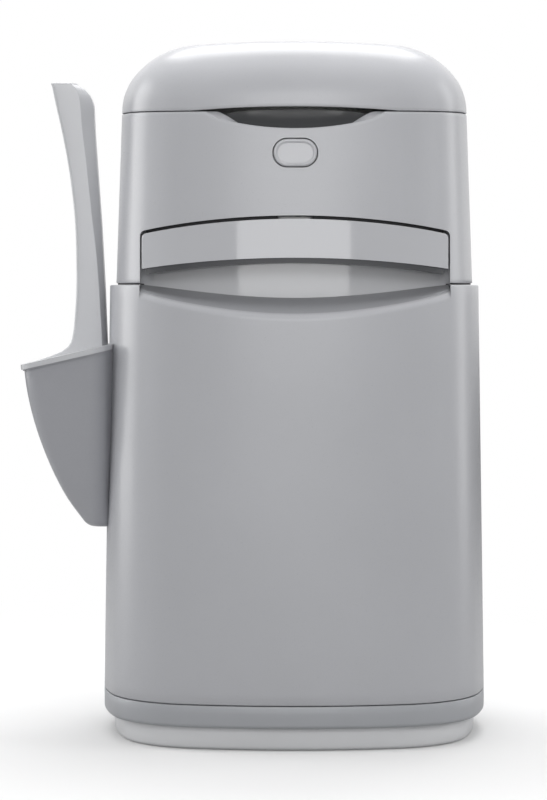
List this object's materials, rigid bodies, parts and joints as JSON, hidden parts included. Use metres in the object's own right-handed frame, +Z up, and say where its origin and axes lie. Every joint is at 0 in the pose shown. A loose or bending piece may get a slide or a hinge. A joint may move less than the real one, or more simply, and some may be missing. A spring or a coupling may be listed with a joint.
{
  "type": "litter disposal pail",
  "caption": "Tall rounded disposal pail with flip lid, hinged head, pull handle over a finger recess, push button, base tray and a scoop in a side holder.",
  "frame": {"origin": "centre of the plinth's flat bottom, on the floor", "axes": "+Z up; the front with the handle and button faces -Y; the scoop holder is on the -X side"},
  "size_m": [0.2939, 0.2153, 0.432],
  "materials": {
    "shell": "satin moulded",
    "tray": "satin moulded",
    "plinth": "satin moulded",
    "holder": "satin moulded",
    "scoop": "satin moulded",
    "handle": "smooth moulded",
    "carriage": "satin moulded",
    "inner": "satin moulded",
    "seal": "matte",
    "cassette": "satin moulded",
    "film": "thin film, pleated",
    "steel": "zinc plated"
  },
  "bodies": {
    "pail": {"pail_shell": "shell", "base_tray": "tray", "base_plinth": "plinth", "base_screws": "steel", "latch_keeper": "inner", "cutter_body": "inner", "cutter_blade": "steel", "scoop_holder": "holder"},
    "head": {"head_shell": "shell", "recess_wall": "handle", "funnel_deck": "inner", "gate_frame": "inner", "gate_screws": "steel", "fixed_jaw": "inner", "fixed_seal": "seal", "gate_springs": "steel", "cassette_body": "cassette", "cassette_cover": "cassette", "film_pack": "film", "button_guide": "inner", "button_spring": "steel", "latch_pin": "steel", "head_hinge_pins": "steel"},
    "lid": {"lid_cover": "shell", "lid_liner": "inner", "lid_gasket": "seal", "lid_hinge_pins": "steel"},
    "slider": {"pull_handle": "handle", "handle_carriage": "carriage", "jaw_frame": "carriage", "moving_seal": "seal"},
    "button": {"release_button": "handle"},
    "latch": {"latch_lever": "carriage"},
    "scoop": {"scoop": "scoop"}
  },
  "joints": [
    {"name": "head_hinge", "type": "hinge", "parent": "pail", "child": "head", "pos_m": [0, 0.103, 0.2865], "axis": [-1, 0, 0], "range_deg": [0, 85]},
    {"name": "lid_hinge", "type": "hinge", "parent": "head", "child": "lid", "pos_m": [0, 0.099, 0.3955], "axis": [-1, 0, 0], "range_deg": [0, 100]},
    {"name": "handle_slide", "type": "slide", "parent": "head", "child": "slider", "axis": [0, -1, 0], "range_m": [0, 0.045], "stiffness_N_per_m": 60, "springref_m": -0.02, "deforming": ["gate_springs"]},
    {"name": "button_slide", "type": "slide", "parent": "head", "child": "button", "axis": [0, 1, 0], "range_m": [0, 0.0025], "stiffness_N_per_m": 600, "springref_m": -0.001, "deforming": ["button_spring"]},
    {"name": "latch_pivot", "type": "hinge", "parent": "head", "child": "latch", "pos_m": [0, -0.079, 0.331], "axis": [-1, 0, 0], "range_deg": [0, 4.9]},
    {"name": "scoop_lift", "type": "slide", "parent": "pail", "child": "scoop", "axis": [0, 0, 1], "range_m": [0, 0.3]}
  ],
  "couplings": [
    {"joint": "latch_pivot", "follows": "button_slide", "rad_per_m": 34}
  ]
}
